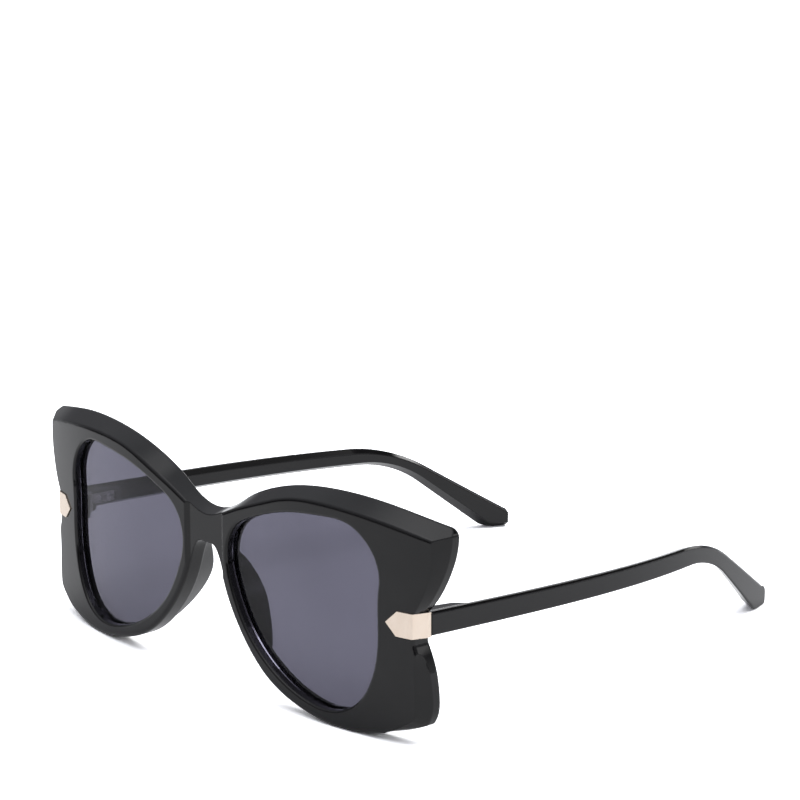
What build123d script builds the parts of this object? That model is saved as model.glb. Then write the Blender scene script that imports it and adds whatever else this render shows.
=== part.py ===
from build123d import *

import os
from math import hypot, sqrt

os.makedirs("parts", exist_ok=True)

# Butterfly sunglasses, in millimetres, standing open on the rims and the temple tips.
# +X is the wearer's left and -Y is the way the wearer looks. The origin is on the
# ground, below the middle of the whole object. The wearer's left side is modelled,
# and the right side is its mirror image.

# Overall sizes. The caps' middle is the height that the shares below start from.
front_width = 152.0
overall_length = 146.4
cap_height = 29.0
brow_rise = 27.1
half_width = front_width / 2
front_y = -overall_length / 2
rear_y = overall_length / 2
overcut = 6.0

# The front: flat in the middle, then wrapped round the face
wrap_flat_half = 21.0
wrap_radius = 180.0
front_thickness = 5.0

# The front's bevels and rounded edges
brow_bevel_depth = 4.2
wing_bevel_width = 2.5
lower_bevel_width = 1.9
wing_bevel_depth = 2.5
tip_corner_radius = 2.4
low_corner_radius = 1.2
notch_corner_radius = 3.0
front_edge_radius = 1.0
rear_edge_radius = 0.6
bridge_recess = 0.8
bridge_bend_inner = 6.2
bridge_bend_outer = 7.4

# Lenses and their grooves
lens_middle_x = 33.7
lens_middle_drop = 1.9
lens_half_width = 25.05
lens_half_height = 23.1
lens_thickness = 2.0
lens_setback = 2.0
groove_depth = 0.75
lens_clearance = 0.05
aperture_edge = 0.6

# Nose pads, moulded on the rims
pad_root_depth = 4.3
pad_width = 2.9
pad_flare = 0.3
pad_reach = 6.3

# End pieces, between the front and the temples
parting_y = front_y + 11.0
end_piece_inner_x = 59.7
end_piece_outer_x = 69.0
end_piece_top = 2.7
end_piece_bottom = 3.1
temple_gap_above = 0.35
end_piece_radius = 0.8

# Corner caps
cap_thickness = 0.9
cap_proud = 0.3
cap_tip_x = 61.2
cap_shoulder_x = 64.3
cap_corner_x = 68.4
cap_flare = 1.0
cap_half_height = 3.0
cap_side_drop = 0.25
cap_corner_radius = 0.5
cap_stud_radius = 0.6
cap_stud_length = 2.5
cap_stud_spots = (63.6, 66.6)

# Hinges: an upright pin, two knuckles on the front leaf and one on the temple leaf
hinge_x = 63.6
hinge_y = parting_y + 1.5
knuckle_radius = 1.4
knuckle_height = 1.56
knuckle_gap = 0.06
leaf_thickness = 0.8
leaf_offset = 0.9
neck_reach = 1.0
relief = 0.3
front_leaf_inner_x = 60.0
front_leaf_outer_x = 65.0
temple_leaf_length = 8.9
temple_leaf_height = 2.8
leaf_corner_radius = 0.5
pin_radius = 0.6
pin_clearance = 0.05
pin_head_radius = 0.95
pin_head_height = 0.6
hinge_height = 3 * knuckle_height + 2 * knuckle_gap

# Leaf screws
screw_head_radius = 0.8
screw_head_height = 0.4
screw_radius = 0.5
screw_slot_width = 0.25
screw_slot_depth = 0.2
front_screw_x = 61.3
front_screw_spread = 1.35
front_screw_length = 2.4
temple_screw_spots = (4.2, 7.4)
temple_screw_length = 3.0

# Temples: a straight arm that slopes down, then a tip bent down and inwards
temple_gap = 0.1
root_top = 2.75
root_bottom = 2.95
bend_top_back = 34.2
bend_top_drop = 2.25
bend_bottom_back = 33.5
bend_bottom_drop = 7.1
tip_top_height = 5.2
tip_end_high = 3.5
tip_end_low = 1.4
tip_end_bulge = 0.35
foot_back = 1.3
foot_length = 5.2
foot_radius = 6.0
top_bend_radius = 45.0
bottom_bend_radius = 30.0
facet_width = 2.6
facet_drop = 0.9
under_facet_width = 2.6
under_facet_rise = 1.3
temple_edge_chamfer = 0.5
temple_low_radius = 0.5

# Boss on the temple's root, which holds the leaf
boss_end = 21.8
boss_run_out = 29.1
boss_top = 2.6
boss_end_top = 0.9
boss_drop = 3.1
boss_block_end = 15.7
boss_low = 1.8
boss_step_radius = 0.6
boss_bite = 2.6

# The arm's top and underside are the faces that point up or down by more than this share
level_share = 0.5

# Outline of the front, from the wing to the middle, as shares of half the width and
# of the brow's rise above the caps, or of the rim's drop below them. The bevel's
# points also hold the share at which the bevel leaves the front face.
brow_shares = [
    (1.0, 0.855),
    (0.867, 0.928),
    (0.742, 0.981),
    (0.579, 1.0),
    (0.399, 0.945),
    (0.25, 0.819),
    (0.17, 0.712),
    (0.1, 0.594),
    (0.0, 0.52),
]
bevel_shares = [
    (1.04, 0.72, 0.835),
    (0.974, 0.756, 0.871),
    (0.742, 0.865, 0.981),
    (0.579, 0.895, 1.0),
    (0.399, 0.849, 0.945),
    (0.25, 0.708, 0.819),
    (0.17, 0.625, 0.712),
    (0.1, 0.545, 0.594),
    (0.0, 0.458, 0.52),
]
wing_shares = [(1.0, 0.855), (0.998, 0.678), (0.977, 0.463), (0.935, 0.22), (0.899, 0.088)]
wing_bevel_line = [(1.0, 1.05)] + wing_shares
wing_bevel_shares = (1.0, 1.0, 0.85, 0.6, 0.35, 0.1)
lower_wing_shares = [(0.899, 0.155), (0.931, 0.408), (0.939, 0.576), (0.937, 0.725), (0.921, 0.823)]

# The lower wing's bevel: its line's shares, then its inward and upward shares of the
# bevel's width
lower_bevel_shares = [
    (0.913, 0.155, 0.0, 0.0),
    (0.918, 0.27, 0.45, 0.0),
    (0.931, 0.408, 0.9, 0.0),
    (0.939, 0.576, 1.0, 0.0),
    (0.937, 0.725, 1.0, 0.05),
    (0.925, 0.8, 0.85, 0.4),
    (0.89, 0.862, 0.5, 0.6),
    (0.84, 0.905, 0.15, 0.35),
    (0.79, 0.94, 0.05, 0.1),
]
rim_shares = [
    (0.921, 0.823),
    (0.764, 0.96),
    (0.608, 1.0),
    (0.449, 0.932),
    (0.31, 0.785),
    (0.195, 0.524),
    (0.093, 0.09),
    (0.066, -0.1),
    (0.038, -0.19),
    (0.0, -0.197),
]

# Outline of a lens opening, from the outer end over the top, as shares of its half
# width and half height
lens_shares = [
    (0.998, 0.407),
    (0.89, 0.801),
    (0.651, 0.981),
    (0.331, 0.998),
    (-0.184, 0.924),
    (-0.595, 0.779),
    (-0.882, 0.603),
    (-1.0, 0.307),
    (-0.935, -0.025),
    (-0.704, -0.45),
    (-0.297, -0.8),
    (0.14, -0.983),
    (0.471, -1.002),
    (0.739, -0.866),
    (0.926, -0.541),
    (0.99, -0.091),
]

# How far the nose pads stand behind their root, as heights from the caps' middle and
# shares of the pad's reach
pad_shares = [
    (6.3, -0.2),
    (4.0, 0.3),
    (0.0, 0.7),
    (-3.5, 0.93),
    (-6.5, 1.0),
    (-11.0, 0.84),
    (-15.0, 0.52),
    (-19.5, -0.2),
]

# Plan of the temple: places along it and how far its outer and inner faces are from
# the middle of the object
temple_plan_spots = [
    (11.1, 69.6, 65.6),
    (39.5, 69.8, 65.95),
    (66.5, 68.9, 65.05),
    (94.5, 65.4, 61.9),
    (115.5, 60.3, 56.9),
]
tip_outer_x = 50.2
tip_inner_x = 45.8
tip_skew = 1.5


def front_plane(depth):
    """The upright plane at a depth behind the front's middle, drawn as seen from the front."""
    return Plane.XZ.offset(-(front_y + depth))


def face_y(x, depth=0):
    """Y of the surface that lies at a depth behind the wrapped front face."""
    reach = max(abs(x) - wrap_flat_half, 0)
    return front_y + wrap_radius - sqrt((wrap_radius - depth) ** 2 - reach**2)


def depth_at(point):
    """How far a point lies behind the wrapped front face."""
    reach = max(abs(point.X) - wrap_flat_half, 0)
    return wrap_radius - hypot(reach, front_y + wrap_radius - point.Y)


def both_sides(points):
    """The points, which end in the middle, and then their mirror images."""
    return points + [(-x, z) for x, z in reversed(points[:-1])]


def even_spline(points, steps):
    """A spline through the points that meets each one at the same step in every section."""
    add(Edge.make_spline([Vector(*point) for point in points], parameters=steps))


def brow_points(shares):
    return [(x * half_width, cap_height + z * brow_rise) for x, z in shares]


def rim_points(shares):
    return [(x * half_width, cap_height - z * cap_height) for x, z in shares]


def wrap_band(near, far, base=0.0):
    """Plan of the layer between two depths behind the wrapped front face."""
    reach = half_width + overcut
    spots = [reach * share for share in (1.0, 0.8, 0.62, 0.44, 0.28, 0.14, 0.0)]
    with BuildSketch(Plane.XY.offset(base)) as band:
        with BuildLine():
            front = Spline(*both_sides([(x, face_y(x, near)) for x in spots]))
            rear = Spline(*both_sides([(x, face_y(x, far)) for x in spots]))
            Line(front @ 0, rear @ 0)
            Line(front @ 1, rear @ 1)
        make_face()
    return band.sketch


def bevel_section(y):
    """The space above the brow's bevel, in one upright plane across the front."""
    points = []
    for x_share, ridge, top in bevel_shares:
        x = x_share * half_width
        slope = (top - ridge) * brow_rise / brow_bevel_depth
        points.append((x, cap_height + ridge * brow_rise + slope * (y - face_y(x))))
    points = both_sides(points)
    lid = cap_height + 2 * brow_rise
    with BuildSketch(Plane.XZ.offset(-y)) as section:
        with BuildLine():
            even_spline(points, [-x for x, z in points])
            Polyline(points[0], (points[0][0], lid), (points[-1][0], lid), points[-1])
        make_face()
    return section.sketch


def wing_section(y):
    """The space outside the wing's side bevel, in one upright plane across the front."""
    points = []
    for (x_share, z_share), share in zip(wing_bevel_line, wing_bevel_shares):
        x = x_share * half_width
        width = share * wing_bevel_width
        spot_x = x - width + width / wing_bevel_depth * (y - face_y(x))
        points.append((spot_x, cap_height + z_share * brow_rise))
    with BuildSketch(Plane.XZ.offset(-y)) as section:
        with BuildLine():
            even_spline(points, [-z for x, z in points])
            Polyline(points[0], (front_width, points[0][1]), (front_width, points[-1][1]), points[-1])
        make_face()
    return section.sketch


def lower_section(y):
    """The space outside the lower wing's bevel, in one upright plane across the front."""
    points = []
    for x_share, z_share, inward, upward in lower_bevel_shares:
        x = x_share * half_width
        width = lower_bevel_width * (1 - (y - face_y(x)) / wing_bevel_depth)
        points.append((x - inward * width, cap_height - z_share * cap_height + upward * width))
    with BuildSketch(Plane.XZ.offset(-y)) as section:
        with BuildLine():
            even_spline(points, [z_share for _, z_share, _, _ in lower_bevel_shares])
            Polyline(
                points[0],
                (front_width, points[0][1]),
                (front_width, -cap_height),
                (points[-1][0], -cap_height),
                points[-1],
            )
        make_face()
    return section.sketch


def lens_outline(grow, plane):
    """The lens opening's outline, grown by an amount all round, for the left side."""
    points = []
    for x, z in lens_shares:
        points.append((
            lens_middle_x + x * (lens_half_width + grow),
            cap_height - lens_middle_drop + z * (lens_half_height + grow),
        ))
    with BuildSketch(plane) as opening:
        with BuildLine():
            Spline(*points, periodic=True)
        make_face()
    return opening.sketch


def cap_plan(inset):
    """Plan of all that lies behind the cap's outside, or behind it by an inset."""
    corner_y = face_y(cap_corner_x, -cap_proud)
    flare = cap_flare / (parting_y - corner_y)
    near = front_y - overcut
    far = parting_y + overcut
    side = [(cap_corner_x - inset + flare * (y - corner_y), y) for y in (near, far)]
    with BuildSketch(Plane.XY) as plan:
        add(wrap_band(inset - cap_proud, wrap_flat_half))
        with BuildLine():
            Polyline((cap_tip_x - overcut, near), side[0], side[1], (cap_tip_x - overcut, far), close=True)
        make_face(mode=Mode.INTERSECT)
        corner = plan.vertices().sort_by_distance((cap_corner_x, corner_y, 0))[0]
        fillet(corner, cap_corner_radius)
    return plan.sketch


# The lens: a layer of the wrapped front, with the opening's outline grown into the groove
with BuildPart() as lens_left:
    extrude(lens_outline(groove_depth - lens_clearance, front_plane(-overcut)), amount=-4 * overcut)
    lens_sheet = wrap_band(lens_setback, lens_setback + lens_thickness)
    extrude(lens_sheet, amount=cap_height + brow_rise, mode=Mode.INTERSECT)
lens_left.part.label = "lens_left"

with BuildPart() as lens_seat:
    extrude(lens_outline(groove_depth, front_plane(-overcut)), amount=-4 * overcut)
    extrude(
        wrap_band(lens_setback - lens_clearance, lens_setback + lens_thickness + lens_clearance),
        amount=cap_height + brow_rise,
        mode=Mode.INTERSECT,
    )

# The cap's seat: the arrow as seen from the front, without what lies behind the cap
with BuildPart() as cap_seat:
    with BuildSketch(front_plane(-overcut)):
        with BuildLine():
            Polyline(
                (cap_tip_x, cap_height),
                (cap_shoulder_x, cap_height + cap_half_height),
                (half_width, cap_height + cap_half_height),
                (half_width, cap_height - cap_half_height - cap_side_drop),
                (cap_shoulder_x, cap_height - cap_half_height - cap_side_drop),
                close=True,
            )
        make_face()
    extrude(amount=-(parting_y - front_y + overcut))
    with BuildSketch(Plane.YZ):
        with BuildLine():
            Polyline(
                (front_y - overcut, cap_height + cap_half_height),
                (face_y(cap_corner_x), cap_height + cap_half_height),
                (parting_y, cap_height + cap_half_height - cap_side_drop),
                (parting_y, cap_height - cap_half_height - cap_side_drop),
                (face_y(cap_corner_x), cap_height - cap_half_height),
                (front_y - overcut, cap_height - cap_half_height),
                close=True,
            )
        make_face()
    extrude(amount=half_width, mode=Mode.INTERSECT)
    extrude(cap_plan(cap_thickness), amount=cap_height + brow_rise, mode=Mode.SUBTRACT)

with BuildPart() as corner_cap_left:
    add(cap_seat.part)
    extrude(cap_plan(0.0), amount=cap_height + brow_rise, mode=Mode.INTERSECT)
    for stud_x in cap_stud_spots:
        with BuildSketch(Plane.XZ.offset(-face_y(stud_x))):
            with Locations((stud_x, cap_height)):
                Circle(cap_stud_radius)
        extrude(amount=-cap_stud_length)
corner_cap_left.part.label = "corner_cap_left"

# Screws of the front leaf, driven forwards into the end piece
leaf_plane = Plane.XZ.offset(-parting_y)
front_screw_centres = [(front_screw_x, cap_height + side * front_screw_spread) for side in (1, -1)]
with BuildPart() as front_hinge_screws_left:
    with BuildSketch(leaf_plane):
        with Locations(*front_screw_centres):
            Circle(screw_radius)
    extrude(amount=front_screw_length)
    with BuildSketch(leaf_plane):
        with Locations(*front_screw_centres):
            Circle(screw_head_radius)
    extrude(amount=screw_head_height)
front_screw_blank = front_hinge_screws_left.part
with front_hinge_screws_left:
    with BuildSketch(leaf_plane):
        with Locations(*front_screw_centres):
            Rectangle(2 * screw_head_radius, screw_slot_width)
    extrude(amount=screw_slot_depth, mode=Mode.SUBTRACT)
front_hinge_screws_left.part.label = "front_hinge_screws_left"

# Screws of the temple leaf, driven outwards into the temple
boss_plane = Plane.YZ.offset(hinge_x + leaf_offset)
temple_screw_centres = [(hinge_y + spot, cap_height) for spot in temple_screw_spots]
with BuildPart() as temple_hinge_screws_left:
    with BuildSketch(boss_plane):
        with Locations(*temple_screw_centres):
            Circle(screw_radius)
    extrude(amount=temple_screw_length)
    with BuildSketch(boss_plane):
        with Locations(*temple_screw_centres):
            Circle(screw_head_radius)
    extrude(amount=screw_head_height)
temple_screw_blank = temple_hinge_screws_left.part
with temple_hinge_screws_left:
    with BuildSketch(boss_plane):
        with Locations(*temple_screw_centres):
            Rectangle(2 * screw_head_radius, screw_slot_width)
    extrude(amount=screw_slot_depth, mode=Mode.SUBTRACT)
temple_hinge_screws_left.part.label = "temple_hinge_screws_left"

# The pivot screw stands in the knuckles, with its head let into the top one
hinge_bottom = cap_height - hinge_height / 2
hinge_top = cap_height + hinge_height / 2
with BuildPart() as hinge_screw_left:
    with BuildSketch(Plane.XY.offset(hinge_bottom)):
        with Locations((hinge_x, hinge_y)):
            Circle(pin_radius)
    extrude(amount=hinge_height)
    with BuildSketch(Plane.XY.offset(hinge_top)):
        with Locations((hinge_x, hinge_y)):
            Circle(pin_head_radius)
    extrude(amount=-pin_head_height)
pin_blank = hinge_screw_left.part
with hinge_screw_left:
    with BuildSketch(Plane.XY.offset(hinge_top)):
        with Locations((hinge_x, hinge_y)):
            Rectangle(2 * pin_head_radius, screw_slot_width)
    extrude(amount=-screw_slot_depth, mode=Mode.SUBTRACT)
hinge_screw_left.part.label = "hinge_screw_left"

# The front leaf: a plate let into the end piece, with the top and bottom knuckles
with BuildPart() as front_hinge_left:
    with BuildSketch(leaf_plane):
        with Locations(((front_leaf_inner_x + front_leaf_outer_x) / 2, cap_height)):
            RectangleRounded(front_leaf_outer_x - front_leaf_inner_x, hinge_height, leaf_corner_radius)
    extrude(amount=leaf_thickness)
    for base in (hinge_bottom, hinge_top - knuckle_height):
        with BuildSketch(Plane.XY.offset(base)):
            with Locations((hinge_x, hinge_y)):
                Circle(knuckle_radius)
            with Locations((hinge_x, (hinge_y + parting_y - leaf_thickness) / 2)):
                Rectangle(2 * knuckle_radius, hinge_y - parting_y + leaf_thickness)
        extrude(amount=knuckle_height)
    add(front_screw_blank, mode=Mode.SUBTRACT)
    add(pin_blank, mode=Mode.SUBTRACT)
front_hinge_left.part.label = "front_hinge_left"

# The temple leaf: a plate let into the temple's boss, with the middle knuckle
leaf_end_y = hinge_y + temple_leaf_length
plate_outer_x = hinge_x + leaf_offset + leaf_thickness
with BuildPart() as temple_hinge_left:
    with BuildSketch(boss_plane):
        with Locations(((hinge_y + plate_outer_x - hinge_x + leaf_end_y) / 2, cap_height)):
            Rectangle(leaf_end_y - hinge_y - (plate_outer_x - hinge_x), temple_leaf_height)
    extrude(amount=leaf_thickness)
    with BuildSketch(Plane.XY.offset(cap_height - knuckle_height / 2)):
        with Locations((hinge_x, hinge_y)):
            Circle(knuckle_radius)
        with BuildLine():
            Polyline(
                (hinge_x, hinge_y - neck_reach),
                (plate_outer_x, hinge_y - neck_reach),
                (plate_outer_x, leaf_end_y),
                (hinge_x + leaf_offset, leaf_end_y),
                (hinge_x + leaf_offset, hinge_y + knuckle_radius),
                (hinge_x, hinge_y + knuckle_radius),
                close=True,
            )
        make_face()
        with Locations((hinge_x, hinge_y)):
            Circle(pin_radius + pin_clearance, mode=Mode.SUBTRACT)
    extrude(amount=knuckle_height)
    add(temple_screw_blank, mode=Mode.SUBTRACT)
temple_hinge_left.part.label = "temple_hinge_left"

# A nose pad: a strip of the rim drawn out backwards, which leans out to the nose's slope
nose_line = rim_points(rim_shares)
with BuildPart() as pad_slope:
    with BuildSketch(front_plane(pad_root_depth)):
        with BuildLine():
            whole_rim = both_sides(nose_line)
            Spline(*whole_rim)
            top = cap_height + brow_rise
            Polyline(whole_rim[-1], (whole_rim[-1][0], top), (whole_rim[0][0], top), whole_rim[0])
        make_face()
    extrude(amount=2 * pad_reach, dir=(pad_flare, 1, 0))

with BuildPart() as nose_pad_left:
    with BuildSketch(Plane.YZ):
        with BuildLine():
            back_spots = [(front_y + pad_root_depth + reach * pad_reach, cap_height + z) for z, reach in pad_shares]
            back = Spline(*back_spots)
            Line(back @ 0, back @ 1)
        make_face()
    extrude(amount=half_width / 2)
    add(pad_slope.part, mode=Mode.INTERSECT)
    with BuildSketch(front_plane(0)):
        with BuildLine():
            Spline(*[(x + pad_width, z) for x, z in nose_line[:-1]])
            Polyline(
                (nose_line[-2][0] + pad_width, nose_line[-2][1]),
                (nose_line[-2][0] + pad_width, brow_rise + cap_height),
                (0, brow_rise + cap_height),
                (0, -overcut),
                (nose_line[0][0] + pad_width, -overcut),
                (nose_line[0][0] + pad_width, nose_line[0][1]),
            )
        make_face()
    extrude(amount=-4 * overcut, mode=Mode.INTERSECT)

# What the side bevel takes off the upper wing
bevel_planes = (front_y - overcut, front_y + front_thickness + 3 * overcut)
with BuildPart() as wing_bevel:
    loft([wing_section(y) for y in bevel_planes], ruled=True)

with BuildPart() as lower_bevel:
    loft([lower_section(y) for y in (face_y(end_piece_inner_x), bevel_planes[1])], ruled=True)

# An end piece: the lump behind the front that carries the hinge
end_piece_start = face_y(end_piece_inner_x, front_thickness / 2) - front_y + lens_setback / 2
with BuildPart() as end_piece_left:
    with BuildSketch(front_plane(end_piece_start)):
        with BuildLine():
            Polyline(
                (end_piece_inner_x, cap_height + end_piece_top),
                (end_piece_outer_x, cap_height + end_piece_top),
                (end_piece_outer_x, cap_height - end_piece_bottom),
                (end_piece_inner_x, cap_height - end_piece_bottom),
                close=True,
            )
        make_face()
    extrude(amount=-(parting_y - front_y - end_piece_start))
    fillet(end_piece_left.edges().filter_by(Axis.Z).sort_by(Axis.X)[:2].sort_by(Axis.Y)[-1], end_piece_radius)

with BuildPart() as front_leaf_blank:
    add(front_hinge_left.part)
    add(front_screw_blank)

# The front
with BuildPart() as front_frame:
    with BuildSketch(front_plane(-overcut)) as outline:
        with BuildLine():
            brow = both_sides(brow_points(brow_shares))
            even_spline(brow, [-x for x, z in brow])
            Spline(*both_sides(rim_points(rim_shares)))
            for side in (1, -1):
                wing = [(side * x, z) for x, z in brow_points(wing_shares)]
                lower = [(side * x, z) for x, z in rim_points(lower_wing_shares)]
                Spline(*wing)
                Line(wing[-1], lower[0])
                Spline(*lower)
        make_face()
        for side in (1, -1):
            corners = (
                (brow_points(brow_shares)[0], tip_corner_radius),
                (brow_points(wing_shares)[-1], notch_corner_radius),
                (rim_points(lower_wing_shares)[0], notch_corner_radius),
                (rim_points(rim_shares)[0], low_corner_radius),
            )
            for (x, z), radius in corners:
                fillet(outline.vertices().sort_by_distance((side * x, z))[0], radius)
    extrude(amount=-(front_thickness + 3 * overcut))
    front_slab = wrap_band(0, front_thickness, -overcut)
    extrude(front_slab, amount=cap_height + brow_rise + 2 * overcut, mode=Mode.INTERSECT)
    loft([bevel_section(y) for y in bevel_planes], ruled=True, mode=Mode.SUBTRACT)

    def cut_both(tool):
        """Cut a left-hand tool and its mirror image out of the front."""
        add([tool.part, mirror(tool.part, about=Plane.YZ)], mode=Mode.SUBTRACT)

    def edges_at(depth, low, high):
        """The front's edges at a depth, between two heights above the caps' middle."""
        found = []
        for edge in front_frame.edges():
            spots = [depth_at(edge @ share) - depth for share in (0.1, 0.5, 0.9)]
            if max(abs(spot) for spot in spots) < lens_clearance and low < (edge @ 0.5).Z - cap_height < high:
                found.append(edge)
        return found

    fillet(edges_at(0, -cap_height - front_thickness, brow_rise), front_edge_radius)
    fillet(edges_at(front_thickness, -cap_height - front_thickness, brow_rise / 2), rear_edge_radius)
    cut_both(wing_bevel)
    cut_both(lower_bevel)
    with BuildSketch(Plane.XY.offset(-overcut)):
        with BuildLine():
            Polyline(
                (bridge_bend_outer * 2 - bridge_bend_inner, front_y - bridge_recess),
                (bridge_bend_inner, front_y + bridge_recess),
                (-bridge_bend_inner, front_y + bridge_recess),
                (bridge_bend_inner - bridge_bend_outer * 2, front_y - bridge_recess),
                close=True,
            )
        make_face()
    extrude(amount=front_width, mode=Mode.SUBTRACT)
    for side in (1, -1):
        opening = lens_outline(0.0, front_plane(-overcut))
        lens_hole = opening if side > 0 else mirror(opening, about=Plane.YZ)
        extrude(lens_hole, amount=-4 * overcut, mode=Mode.SUBTRACT)
    rims = [edge for edge in edges_at(0, -cap_height, brow_rise) if edge.is_closed]
    fillet(rims, aperture_edge)
    cut_both(lens_seat)
    add([end_piece_left.part, mirror(end_piece_left.part, about=Plane.YZ)])
    add([nose_pad_left.part, mirror(nose_pad_left.part, about=Plane.YZ)])
    for side in (1, -1):
        with BuildSketch(Plane.XY.offset(cap_height - end_piece_bottom - temple_gap_above)):
            with Locations((side * (end_piece_outer_x + end_piece_inner_x) / 2, parting_y + overcut)):
                Rectangle(front_width - end_piece_outer_x - end_piece_inner_x, 2 * overcut)
        extrude(amount=end_piece_top + end_piece_bottom + 2 * temple_gap_above, mode=Mode.SUBTRACT)
    cut_both(cap_seat)
    cut_both(corner_cap_left)
    cut_both(front_leaf_blank)
    split(bisect_by=Plane.XY, keep=Keep.TOP)
front_frame.part.label = "front_frame"

# The boss on the inside of the temple's root, with a deeper block at the joint
temple_start_y = parting_y + temple_gap
with BuildPart() as temple_boss:
    with BuildSketch(Plane.YZ) as boss_side:
        with BuildLine():
            Polyline(
                (temple_start_y, cap_height + boss_top),
                (front_y + boss_run_out, cap_height + boss_end_top),
                (front_y + boss_run_out, cap_height - boss_low),
                (front_y + boss_block_end, cap_height - boss_low),
                (front_y + boss_block_end, cap_height - boss_drop),
                (temple_start_y, cap_height - boss_drop),
                close=True,
            )
        make_face()
        for drop in (boss_low, boss_drop):
            step = (front_y + boss_block_end, cap_height - drop)
            fillet(boss_side.vertices().sort_by_distance(step)[0], boss_step_radius)
    extrude(amount=half_width)
    with BuildSketch(Plane.XY):
        with BuildLine():
            Polyline(
                (hinge_x + leaf_offset, temple_start_y),
                (hinge_x + leaf_offset, front_y + boss_end),
                (temple_plan_spots[0][2] + boss_bite, front_y + boss_run_out),
                (temple_plan_spots[0][2] + boss_bite, temple_start_y),
                close=True,
            )
        make_face()
    extrude(amount=cap_height + brow_rise, mode=Mode.INTERSECT)


def arm_edges(arm, side):
    """The edges along the arm's top, side 1, or its underside, side -1: inside, then outside."""
    inside = []
    outside = []
    for face in arm.faces():
        if side * face.normal_at().Z > level_share:
            for edge in face.edges():
                middle = edge @ 0.5
                if abs((edge % 0.5).X) < level_share and middle.Y < rear_y - foot_back:
                    (inside if middle.X < face.center().X else outside).append(edge)
    return inside, outside


def facet_section(root, width, drop, side):
    """What a facet takes off an inside edge of the arm, as a section at the edge's root."""
    slope = drop / width
    with BuildSketch(Plane.XZ.offset(-root.Y)) as section:
        with BuildLine():
            Polyline(
                (root.X - drop, root.Z - side * drop * (1 + slope)),
                (root.X + width + drop, root.Z + side * drop * slope),
                (root.X + width + drop, root.Z + side * 2 * drop),
                (root.X - drop, root.Z + side * 2 * drop),
                close=True,
            )
        make_face()
    return section.sketch


def long_path(edges):
    """The edges as one line from the root, drawn on past the tip's rounded end."""
    line = Wire(edges)
    ends = sorted((line @ 0, line @ 1), key=lambda point: point.Y)
    tail = sorted(line.edges(), key=lambda edge: (edge @ 0.5).Y)[-1]
    way = tail % 1 if (tail @ 1).Y > (tail @ 0).Y else -(tail % 0)
    return Wire(line.edges() + [Edge.make_line(ends[1], ends[1] + way * foot_length)]), ends[0]


# The temple: its side view, cut to its plan, with facets along its inside edges
with BuildPart() as temple_left:
    with BuildSketch(Plane.YZ) as side_view:
        with BuildLine():
            foot_end = (rear_y - foot_back, 0)
            tip_top = (rear_y - foot_back, tip_top_height)
            Polyline(
                foot_end,
                (rear_y - foot_back - foot_length, 0),
                (rear_y - bend_bottom_back, cap_height - bend_bottom_drop),
                (temple_start_y, cap_height - root_bottom),
                (temple_start_y, cap_height + root_top),
                (rear_y - bend_top_back, cap_height - bend_top_drop),
                tip_top,
            )
            SagittaArc(tip_top, (rear_y, tip_end_high), tip_end_bulge)
            Line((rear_y, tip_end_high), (rear_y, tip_end_low))
            SagittaArc((rear_y, tip_end_low), foot_end, tip_end_bulge)
        make_face()
        rounded = (
            ((rear_y - bend_top_back, cap_height - bend_top_drop), top_bend_radius),
            ((rear_y - bend_bottom_back, cap_height - bend_bottom_drop), bottom_bend_radius),
            ((rear_y - foot_back - foot_length, 0), foot_radius),
        )
        for place, radius in rounded:
            fillet(side_view.vertices().sort_by_distance(place)[0], radius)
    extrude(amount=half_width)
    with BuildSketch(Plane.XY):
        with BuildLine():
            outer = [(x, front_y + y) for y, x, _ in temple_plan_spots] + [(tip_outer_x, rear_y)]
            inner = [(x, front_y + y) for y, _, x in temple_plan_spots] + [(tip_inner_x, rear_y - tip_skew)]
            outer_line = Spline(*outer)
            inner_line = Spline(*inner)
            Line(outer_line @ 0, inner_line @ 0)
            Line(outer_line @ 1, inner_line @ 1)
        make_face()
    extrude(amount=cap_height + brow_rise, mode=Mode.INTERSECT)

    top_inside, top_outside = arm_edges(temple_left, 1)
    low_inside, _ = arm_edges(temple_left, -1)
    chamfer(top_outside, temple_edge_chamfer)
    top_path, top_root = long_path(top_inside)
    sweep(facet_section(top_root, facet_width, facet_drop, 1), path=top_path, mode=Mode.SUBTRACT)
    low_path, low_root = long_path(low_inside)
    _, low_outside = arm_edges(temple_left, -1)
    fillet(low_outside, temple_low_radius)
    sweep(facet_section(low_root, under_facet_width, under_facet_rise, -1), path=low_path, mode=Mode.SUBTRACT)
    add(temple_boss.part)
    with BuildSketch(Plane.XY.offset(cap_height - brow_rise)):
        with Locations((hinge_x, hinge_y)):
            Rectangle(2 * (knuckle_radius + relief), 2 * (knuckle_radius + relief))
    extrude(amount=2 * brow_rise, mode=Mode.SUBTRACT)
    add(temple_hinge_left.part, mode=Mode.SUBTRACT)
    add(temple_screw_blank, mode=Mode.SUBTRACT)
temple_left.part.label = "temple_left"

export_step(front_frame.part, "parts/front_frame.step")
left_pieces = (
    lens_left,
    corner_cap_left,
    front_hinge_left,
    temple_hinge_left,
    hinge_screw_left,
    front_hinge_screws_left,
    temple_hinge_screws_left,
    temple_left,
)
for piece in left_pieces:
    right = mirror(piece.part, about=Plane.YZ)
    right.label = piece.part.label.replace("left", "right")
    export_step(piece.part, "parts/" + piece.part.label + ".step")
    export_step(right, "parts/" + right.label + ".step")
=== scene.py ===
from math import cos, radians, sin

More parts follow.
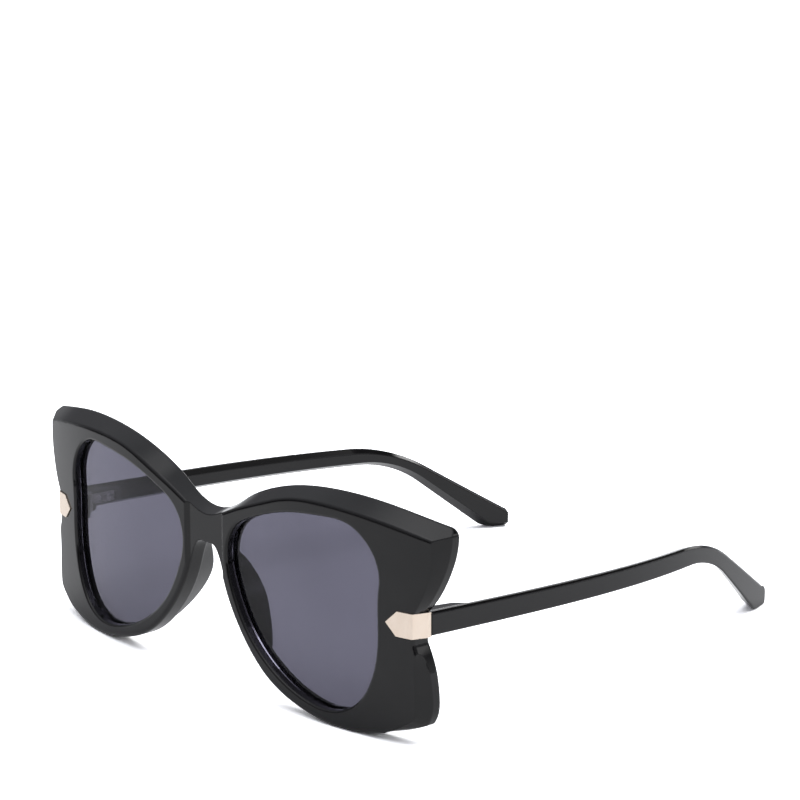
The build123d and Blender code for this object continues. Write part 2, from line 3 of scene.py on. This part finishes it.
import bpy
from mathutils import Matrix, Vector

# The looks of the butterfly sunglasses. All sizes are in metres, and every colour is linear.
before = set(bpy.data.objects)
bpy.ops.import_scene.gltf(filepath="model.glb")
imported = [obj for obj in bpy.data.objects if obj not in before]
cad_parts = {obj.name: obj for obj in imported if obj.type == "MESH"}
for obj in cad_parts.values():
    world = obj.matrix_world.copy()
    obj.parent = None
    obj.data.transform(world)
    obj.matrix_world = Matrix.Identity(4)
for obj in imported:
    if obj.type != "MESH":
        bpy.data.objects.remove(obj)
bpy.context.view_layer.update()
MM = 0.001

# The photograph's camera, fitted to the lower of its two views
CAMERA_AZIMUTH = 48.44
CAMERA_ELEVATION = 14.07
CAMERA_DISTANCE = 0.7517
CAMERA_TARGET = Vector((-1.74, -8.6, 58.9)) * MM
CAMERA_FOCAL_PIXELS = 2978.0
PICTURE_PIXELS = 800
SENSOR_WIDTH = 36.0
CAMERA_CLIP_START = 0.01

# Finishes: colours, gloss, the roughness from low to high, and the depth of ripples and lines
ACETATE_DARK = (0.0035, 0.0035, 0.0038, 1)
ACETATE_LIGHT = (0.0065, 0.0063, 0.0066, 1)
ACETATE_IOR = 1.46
ACETATE_GLOSS = 0.43
ACETATE_ROUGHNESS = (0.03, 0.06)
ACETATE_RIPPLE = 0.004 * MM
TINT_THIN = (0.147, 0.143, 0.190, 1)
TINT_DEEP = (0.136, 0.132, 0.176, 1)
TINT_SHADOW = (0.2, 0.2, 0.23, 1)
LENS_IOR = 1.25
LENS_ROUGHNESS = (0.01, 0.02)
LENS_RIPPLE = 0.002 * MM
ROSE_GOLD = (0.875, 0.751, 0.635, 1)
ROSE_GOLD_DEEP = (0.846, 0.715, 0.598, 1)
NICKEL = (0.36, 0.35, 0.34, 1)
NICKEL_DEEP = (0.27, 0.26, 0.25, 1)
STEEL = (0.50, 0.49, 0.48, 1)
STEEL_DEEP = (0.40, 0.39, 0.38, 1)
GOLD_ROUGHNESS = (0.16, 0.24)
GOLD_LINES = 0.002 * MM
NICKEL_ROUGHNESS = (0.22, 0.38)
NICKEL_LINES = 0.006 * MM
STEEL_ROUGHNESS = (0.18, 0.3)
STEEL_LINES = 0.004 * MM
EDGE_RADIUS = 0.5 * MM
METAL_EDGE_RADIUS = EDGE_RADIUS / 3
EDGE_SAMPLES = 6
NOISE_LOW = 0.35
NOISE_HIGH = 0.65

# Waves of the noise in a metre
ACETATE_CLOUD_WAVES = 140
ACETATE_GLOSS_WAVES = 420
ACETATE_RIPPLE_WAVES = 260
LENS_PATCH_WAVES = 30
LENS_GLOSS_WAVES = 300
LENS_RIPPLE_WAVES = 60
METAL_PATCH_WAVES = 500
METAL_LINE_WAVES = 3000

# The studio
FLOOR_SIZE = 6.0
FLOOR_WHITE = 0.92
FLOOR_EXPOSURE = 2.3
# The floor's whiteness at distances along Y as reflections see it, with painted shade that darkens it
# to near black towards the front
FLOOR_SHADE_STOPS = ((-0.42, 0.05), (-0.27, 0.84), (-0.1, 0.86), (0.1, 1.0))
TENT_SIDE = (0.55, 0.56, 0.58, 1)
TENT_FRONT = (0.02, 0.02, 0.02, 1)
TENT_SHADE = (0.25, 0.25, 0.27, 1)
TENT_HIGH = (0.90, 0.92, 0.98, 1)
TENT_GLOW = (2.8, 2.8, 2.85, 1)
TENT_WALL = (2.2, 2.2, 2.2, 1)
TENT_BEHIND = (0.02, 0.02, 0.02, 1)
BACKGROUND_WHITE = (1, 1, 1, 1)

# Where the tent changes, as a part of the way's length along Y or Z
FRONT_FROM_TO = (-0.1, -0.4)
SHADE_FROM_TO = (0.05, 0.22)
HIGH_FROM_TO = (0.16, 1.04)
GLOW_FRONT_FROM_TO = (-0.17, -0.36)
GLOW_HEIGHT_FROM_TO = (0.78, 0.96)
BACK_FROM_TO = (0.45, 0.65)
WALL_HEIGHT_FROM_TO = (0.2, 0.3)
BEHIND_HEIGHT_FROM_TO = (0.36, 0.44)

TOP_LIGHT_WAY = (0.25, 0.3, 0.92)
TOP_LIGHT_STRENGTH = 1.35
TOP_LIGHT_SPREAD = 50


class Nodes:
    """A material with a Principled shader, and short ways to add nodes to it."""

    def __init__(self, name):
        self.material = bpy.data.materials.new(name)
        self.material.use_nodes = True
        self.tree = self.material.node_tree
        self.shader = self.tree.nodes["Principled BSDF"]
        self.output = self.tree.nodes["Material Output"]
        self.place = self.add("ShaderNodeTexCoord").outputs["Object"]

    def add(self, kind, **values):
        node = self.tree.nodes.new(kind)
        for name, value in values.items():
            setattr(node, name, value)
        return node

    def link(self, start, end):
        self.tree.links.new(start, end)

    def noise(self, scale, detail=2.0, stretch=(1, 1, 1)):
        """Noise of so many waves a metre, drawn out along the axes by the stretch."""
        mapping = self.add("ShaderNodeMapping")
        mapping.inputs["Scale"].default_value = stretch
        self.link(self.place, mapping.inputs["Vector"])
        noise = self.add("ShaderNodeTexNoise")
        noise.inputs["Scale"].default_value = scale
        noise.inputs["Detail"].default_value = detail
        self.link(mapping.outputs["Vector"], noise.inputs["Vector"])
        return noise.outputs["Fac"]

    def blend(self, factor, first, second, target):
        """A colour between two that follows the factor, from the noise's low to its high."""
        ramp = self.add("ShaderNodeValToRGB")
        ramp.color_ramp.elements[0].position = NOISE_LOW
        ramp.color_ramp.elements[1].position = NOISE_HIGH
        ramp.color_ramp.elements[0].color = first
        ramp.color_ramp.elements[1].color = second
        self.link(factor, ramp.inputs["Fac"])
        self.link(ramp.outputs["Color"], self.shader.inputs[target])

    def spread(self, factor, span, target):
        """A number within a span that follows the factor, from the noise's low to its high."""
        scale = self.add("ShaderNodeMapRange")
        scale.inputs["From Min"].default_value = NOISE_LOW
        scale.inputs["From Max"].default_value = NOISE_HIGH
        scale.inputs["To Min"].default_value = span[0]
        scale.inputs["To Max"].default_value = span[1]
        self.link(factor, scale.inputs["Value"])
        self.link(scale.outputs["Result"], self.shader.inputs[target])

    def bump(self, height, depth, edge=0.0):
        """Relief that follows the height, over edges that catch the light as if so rounded."""
        bump = self.add("ShaderNodeBump")
        if edge:
            rounding = self.add("ShaderNodeBevel", samples=EDGE_SAMPLES)
            rounding.inputs["Radius"].default_value = edge
            self.link(rounding.outputs["Normal"], bump.inputs["Normal"])
        bump.inputs["Strength"].default_value = 1.0
        bump.inputs["Distance"].default_value = depth
        self.link(height, bump.inputs["Height"])
        self.link(bump.outputs["Normal"], self.shader.inputs["Normal"])


def black_acetate(name, waves):
    """Polished black plastic with a faint cloudiness and the ripple that polishing leaves."""
    nodes = Nodes(name)
    nodes.shader.inputs["IOR"].default_value = ACETATE_IOR
    nodes.shader.inputs["Specular IOR Level"].default_value = ACETATE_GLOSS
    nodes.blend(nodes.noise(ACETATE_CLOUD_WAVES, 4.0, waves), ACETATE_DARK, ACETATE_LIGHT, "Base Color")
    nodes.spread(nodes.noise(ACETATE_GLOSS_WAVES, 3.0, waves), ACETATE_ROUGHNESS, "Roughness")
    nodes.bump(nodes.noise(ACETATE_RIPPLE_WAVES, 2.0, waves), ACETATE_RIPPLE, edge=EDGE_RADIUS)
    return nodes.material


def tinted_lens(name):
    """Clear grey-violet sheet with patches a shade deeper, which casts only a light shadow."""
    nodes = Nodes(name)
    shader = nodes.shader
    shader.inputs["Transmission Weight"].default_value = 1.0
    shader.inputs["IOR"].default_value = LENS_IOR
    nodes.blend(nodes.noise(LENS_PATCH_WAVES, 1.0), TINT_DEEP, TINT_THIN, "Base Color")
    nodes.spread(nodes.noise(LENS_GLOSS_WAVES, 2.0), LENS_ROUGHNESS, "Roughness")
    nodes.bump(nodes.noise(LENS_RIPPLE_WAVES, 1.0), LENS_RIPPLE)
    clear = nodes.add("ShaderNodeBsdfTransparent")
    clear.inputs["Color"].default_value = TINT_SHADOW
    rays = nodes.add("ShaderNodeLightPath")
    mix = nodes.add("ShaderNodeMixShader")
    nodes.link(rays.outputs["Is Shadow Ray"], mix.inputs["Fac"])
    nodes.link(shader.outputs["BSDF"], mix.inputs[1])
    nodes.link(clear.outputs["BSDF"], mix.inputs[2])
    nodes.link(mix.outputs["Shader"], nodes.output.inputs["Surface"])
    return nodes.material


def worked_metal(name, light, deep, roughness, depth, waves):
    """Metal with fine drawn lines along one axis, and patches that took the polish better."""
    nodes = Nodes(name)
    nodes.shader.inputs["Metallic"].default_value = 1.0
    nodes.blend(nodes.noise(METAL_PATCH_WAVES, 3.0), deep, light, "Base Color")
    lines = nodes.noise(METAL_LINE_WAVES, 3.0, waves)
    nodes.spread(lines, roughness, "Roughness")
    nodes.bump(lines, depth, edge=METAL_EDGE_RADIUS)
    return nodes.material


def dress(node, material):
    """Gives a CAD node its finish."""
    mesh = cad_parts[node].data
    mesh.materials.clear()
    mesh.materials.append(material)
    mesh.polygons.foreach_set("material_index", [0] * len(mesh.polygons))


# The last tuple draws the waves of a finish out along an axis where it is under 1
acetate_front = black_acetate("acetate_front", (1, 1, 1))
acetate_temple = black_acetate("acetate_temple", (1, 0.3, 1))
lens_tint = tinted_lens("lens_tint")
cap_gold = worked_metal("cap_gold", ROSE_GOLD, ROSE_GOLD_DEEP, GOLD_ROUGHNESS, GOLD_LINES, (1, 1, 0.2))
hinge_nickel = worked_metal(
    "hinge_nickel", NICKEL, NICKEL_DEEP, NICKEL_ROUGHNESS, NICKEL_LINES, (0.2, 0.2, 1)
)
screw_steel = worked_metal("screw_steel", STEEL, STEEL_DEEP, STEEL_ROUGHNESS, STEEL_LINES, (1, 1, 1))

dress("front_frame", acetate_front)
for side in ("left", "right"):
    dress("temple_" + side, acetate_temple)
    dress("lens_" + side, lens_tint)
    dress("corner_cap_" + side, cap_gold)
    dress("front_hinge_" + side, hinge_nickel)
    dress("temple_hinge_" + side, hinge_nickel)
    dress("hinge_screw_" + side, screw_steel)
    dress("front_hinge_screws_" + side, screw_steel)
    dress("temple_hinge_screws_" + side, screw_steel)


def mixed(tree, first, second, factor):
    """The mix of two colours, each a node's output or a plain colour."""
    mix = tree.nodes.new("ShaderNodeMix")
    mix.data_type = "RGBA"
    colours = [socket for socket in mix.inputs if socket.type == "RGBA"]
    for socket, colour in zip(colours, (first, second)):
        if isinstance(colour, tuple):
            socket.default_value = colour
        else:
            tree.links.new(colour, socket)
    tree.links.new(factor, mix.inputs["Factor"])
    return [socket for socket in mix.outputs if socket.type == "RGBA"][0]


def white_floor():
    """A white floor that the camera sees as it looks overexposed, with painted shade that only
    reflections see: darker in front of the object, lighter behind.
    """
    bpy.ops.mesh.primitive_plane_add(size=FLOOR_SIZE, location=(0, 0, 0))
    floor = bpy.context.object
    floor.name = "floor"
    nodes = Nodes("floor_white")
    nodes.tree.nodes.remove(nodes.shader)
    matt = nodes.add("ShaderNodeBsdfDiffuse")
    rays = nodes.add("ShaderNodeLightPath")
    spot = nodes.add("ShaderNodeSeparateXYZ")
    nodes.link(nodes.place, spot.inputs["Vector"])
    # Painted shade: for reflections the floor's colour darkens along Y towards the front of the object
    front, back = FLOOR_SHADE_STOPS[0][0], FLOOR_SHADE_STOPS[-1][0]
    depth = nodes.add("ShaderNodeMapRange")
    depth.inputs["From Min"].default_value = front
    depth.inputs["From Max"].default_value = back
    nodes.link(spot.outputs["Y"], depth.inputs["Value"])
    ramp = nodes.add("ShaderNodeValToRGB")
    while len(ramp.color_ramp.elements) < len(FLOOR_SHADE_STOPS):
        ramp.color_ramp.elements.new(0.5)
    for element, (y, grey) in zip(ramp.color_ramp.elements, FLOOR_SHADE_STOPS):
        element.position = (y - front) / (back - front)
        element.color = (grey, grey, grey, 1)
    nodes.link(depth.outputs["Result"], ramp.inputs["Fac"])
    colour = ramp.outputs["Color"]
    seen = (("Is Transmission Ray", FLOOR_WHITE), ("Is Camera Ray", FLOOR_WHITE * FLOOR_EXPOSURE))
    for ray, grey in seen:
        colour = mixed(nodes.tree, colour, (grey, grey, grey, 1), rays.outputs[ray])
    nodes.link(colour, matt.inputs["Color"])
    nodes.link(matt.outputs["BSDF"], nodes.output.inputs["Surface"])
    floor.data.materials.append(nodes.material)


def tent_light():
    """A white tent, bright overhead and dark low in front and high behind, before a white wall."""
    world = bpy.data.worlds.new("studio")
    bpy.context.scene.world = world
    world.use_nodes = True
    tree = world.node_tree
    way = tree.nodes.new("ShaderNodeSeparateXYZ")
    tree.links.new(tree.nodes.new("ShaderNodeTexCoord").outputs["Generated"], way.inputs["Vector"])

    def between(axis, start, end):
        """Rises smoothly from 0 to 1 along an axis."""
        rise = tree.nodes.new("ShaderNodeMapRange")
        rise.interpolation_type = "SMOOTHSTEP"
        rise.inputs["From Min"].default_value = start
        rise.inputs["From Max"].default_value = end
        tree.links.new(way.outputs[axis], rise.inputs["Value"])
        return rise.outputs["Result"]

    def both(kind, first, second):
        joined = tree.nodes.new("ShaderNodeMath")
        joined.operation = kind
        tree.links.new(first, joined.inputs[0])
        tree.links.new(second, joined.inputs[1])
        return joined.outputs["Value"]

    tent = mixed(tree, TENT_SIDE, TENT_FRONT, between("Y", *FRONT_FROM_TO))
    tent = mixed(tree, tent, TENT_SHADE, between("Z", *SHADE_FROM_TO))
    tent = mixed(tree, tent, TENT_HIGH, between("Z", *HIGH_FROM_TO))
    glow = both("MULTIPLY", between("Y", *GLOW_FRONT_FROM_TO), between("Z", *GLOW_HEIGHT_FROM_TO))
    tent = mixed(tree, tent, TENT_GLOW, glow)
    wall = both("MULTIPLY", between("Y", *BACK_FROM_TO), between("Z", *WALL_HEIGHT_FROM_TO))
    tent = mixed(tree, tent, TENT_WALL, wall)
    behind = both("MULTIPLY", between("Y", *BACK_FROM_TO), between("Z", *BEHIND_HEIGHT_FROM_TO))
    tent = mixed(tree, tent, TENT_BEHIND, behind)
    rays = tree.nodes.new("ShaderNodeLightPath")
    seen = both("MAXIMUM", rays.outputs["Is Camera Ray"], rays.outputs["Is Transmission Ray"])
    colour = mixed(tree, tent, BACKGROUND_WHITE, seen)
    tree.links.new(colour, tree.nodes["Background"].inputs["Color"])


def soft_light(name, way, strength, spread):
    """A distant round lamp of soft light from a direction, kept out of the reflections."""
    data = bpy.data.lights.new(name, "SUN")
    data.energy = strength
    data.angle = radians(spread)
    lamp = bpy.data.objects.new(name, data)
    lamp.visible_glossy = False
    bpy.context.scene.collection.objects.link(lamp)
    lamp.rotation_euler = Vector(way).to_track_quat("Z", "Y").to_euler()


def photo_camera():
    """The camera of the photograph's lower view."""
    azimuth = radians(CAMERA_AZIMUTH)
    elevation = radians(CAMERA_ELEVATION)
    back = Vector((sin(azimuth) * cos(elevation), -cos(azimuth) * cos(elevation), sin(elevation)))
    data = bpy.data.cameras.new("camera")
    data.sensor_width = SENSOR_WIDTH
    data.lens = CAMERA_FOCAL_PIXELS / PICTURE_PIXELS * SENSOR_WIDTH
    data.clip_start = CAMERA_CLIP_START
    camera = bpy.data.objects.new("camera", data)
    bpy.context.scene.collection.objects.link(camera)
    camera.location = CAMERA_TARGET + back * CAMERA_DISTANCE
    camera.rotation_euler = back.to_track_quat("Z", "Y").to_euler()
    bpy.context.scene.camera = camera


white_floor()
tent_light()
soft_light("top_light", TOP_LIGHT_WAY, TOP_LIGHT_STRENGTH, TOP_LIGHT_SPREAD)
photo_camera()
bpy.context.scene.view_settings.view_transform = "Standard"
